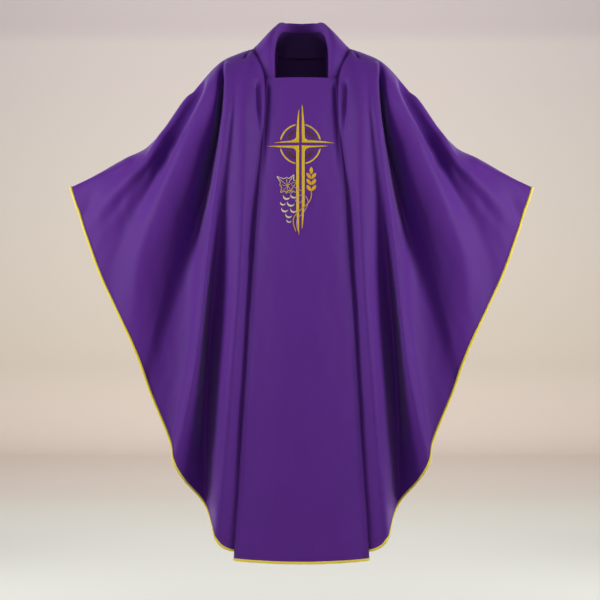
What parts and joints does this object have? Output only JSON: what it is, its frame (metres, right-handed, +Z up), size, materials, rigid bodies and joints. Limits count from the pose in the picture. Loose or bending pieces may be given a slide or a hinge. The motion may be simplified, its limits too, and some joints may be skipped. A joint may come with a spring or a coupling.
{
  "type": "chasuble",
  "caption": "Full Gothic violet chasuble with gold-piped hems, a stand-up rolled collar and an embroidered cross with vine and wheat on its centre panel.",
  "frame": {"origin": "middle of the neck opening, level with the points of the shoulders where the neck seam meets the arm line", "axes": "+Z up along the hanging garment, -Y out of the front (embroidered) side, +X towards the wearer's left"},
  "size_m": [1.1774, 0.3922, 1.3618],
  "materials": {
    "violet_cloth": "matt fine-woven cloth with a faint sheen",
    "violet_lining": "plain lining cloth",
    "interlining": "stiff non-woven interlining",
    "seam_tape": "plain woven tape",
    "gold_piping": "satin-covered cord",
    "gold_thread": "glossy satin-stitched thread",
    "amber_thread": "glossy satin-stitched thread",
    "cream_thread": "satin-stitched thread",
    "lilac_thread": "running-stitched thread",
    "rust_thread": "loosely stitched thread"
  },
  "bodies": {
    "root": {"front_panel": "violet_cloth", "back_panel": "violet_cloth", "front_left_wing": "violet_cloth", "front_right_wing": "violet_cloth", "back_left_wing": "violet_cloth", "back_right_wing": "violet_cloth", "collar_outer": "violet_cloth", "collar_facing": "violet_lining", "collar_interlining": "interlining", "front_neck_facing": "violet_lining", "embroidery_backing": "interlining", "front_panel_piping": "gold_piping", "back_panel_piping": "gold_piping", "front_left_piping": "gold_piping", "front_right_piping": "gold_piping", "back_left_piping": "gold_piping", "back_right_piping": "gold_piping", "left_shoulder_tape": "seam_tape", "right_shoulder_tape": "seam_tape", "cross_embroidery": "gold_thread", "halo_ring_embroidery": "gold_thread", "halo_shading_embroidery": "rust_thread", "vine_leaf_embroidery": "cream_thread", "grape_embroidery": "cream_thread", "vine_tendril_embroidery": "lilac_thread", "wheat_ear_embroidery": "amber_thread", "wheat_stem_embroidery": "gold_thread"}
  },
  "joints": []
}
